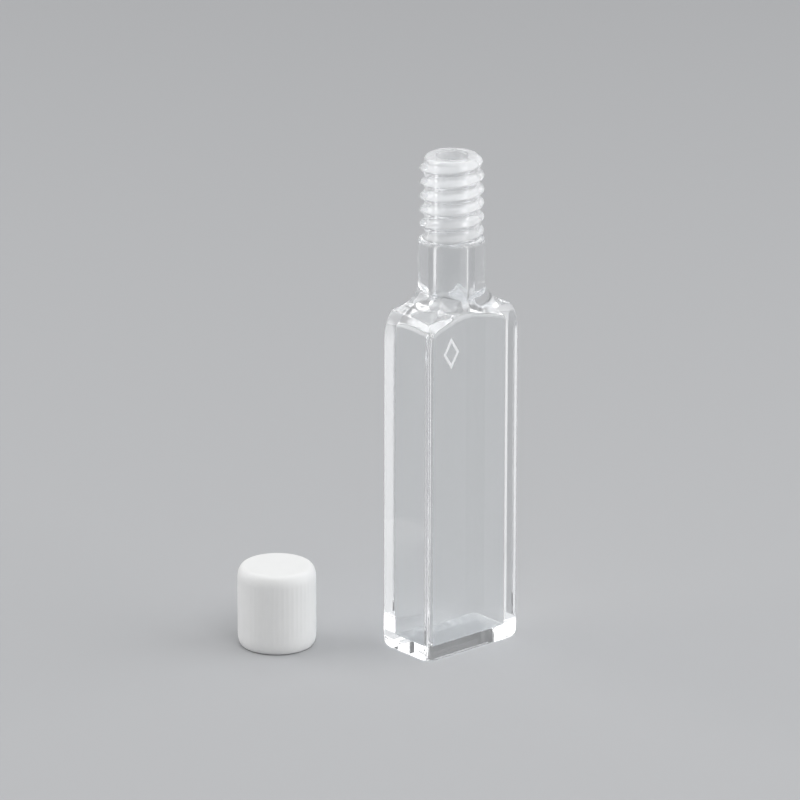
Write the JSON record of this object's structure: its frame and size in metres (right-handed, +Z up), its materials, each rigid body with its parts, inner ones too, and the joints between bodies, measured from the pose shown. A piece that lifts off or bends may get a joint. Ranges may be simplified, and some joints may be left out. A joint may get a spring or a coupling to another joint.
{
  "type": "cuvette with screw cap",
  "caption": "Rectangular fused-quartz cuvette with a sloping shoulder and a threaded neck; its fine-ribbed white screw cap stands open end down beside it.",
  "frame": {"origin": "centre of the cuvette's base face, on its axis", "axes": "+Z up the neck; X across the wide windows, with the standing cap towards -X; Y along the short light path, with the marked window facing -Y"},
  "size_m": [0.0245, 0.0191, 0.053],
  "materials": {
    "quartz": "polished clear fused quartz, thread slightly hazy",
    "cap_plastic": "satin white fluoropolymer",
    "liner": "soft white seal"
  },
  "bodies": {
    "root": {"cuvette_body": "quartz", "screw_cap": "cap_plastic", "cap_liner": "liner"}
  },
  "joints": []
}
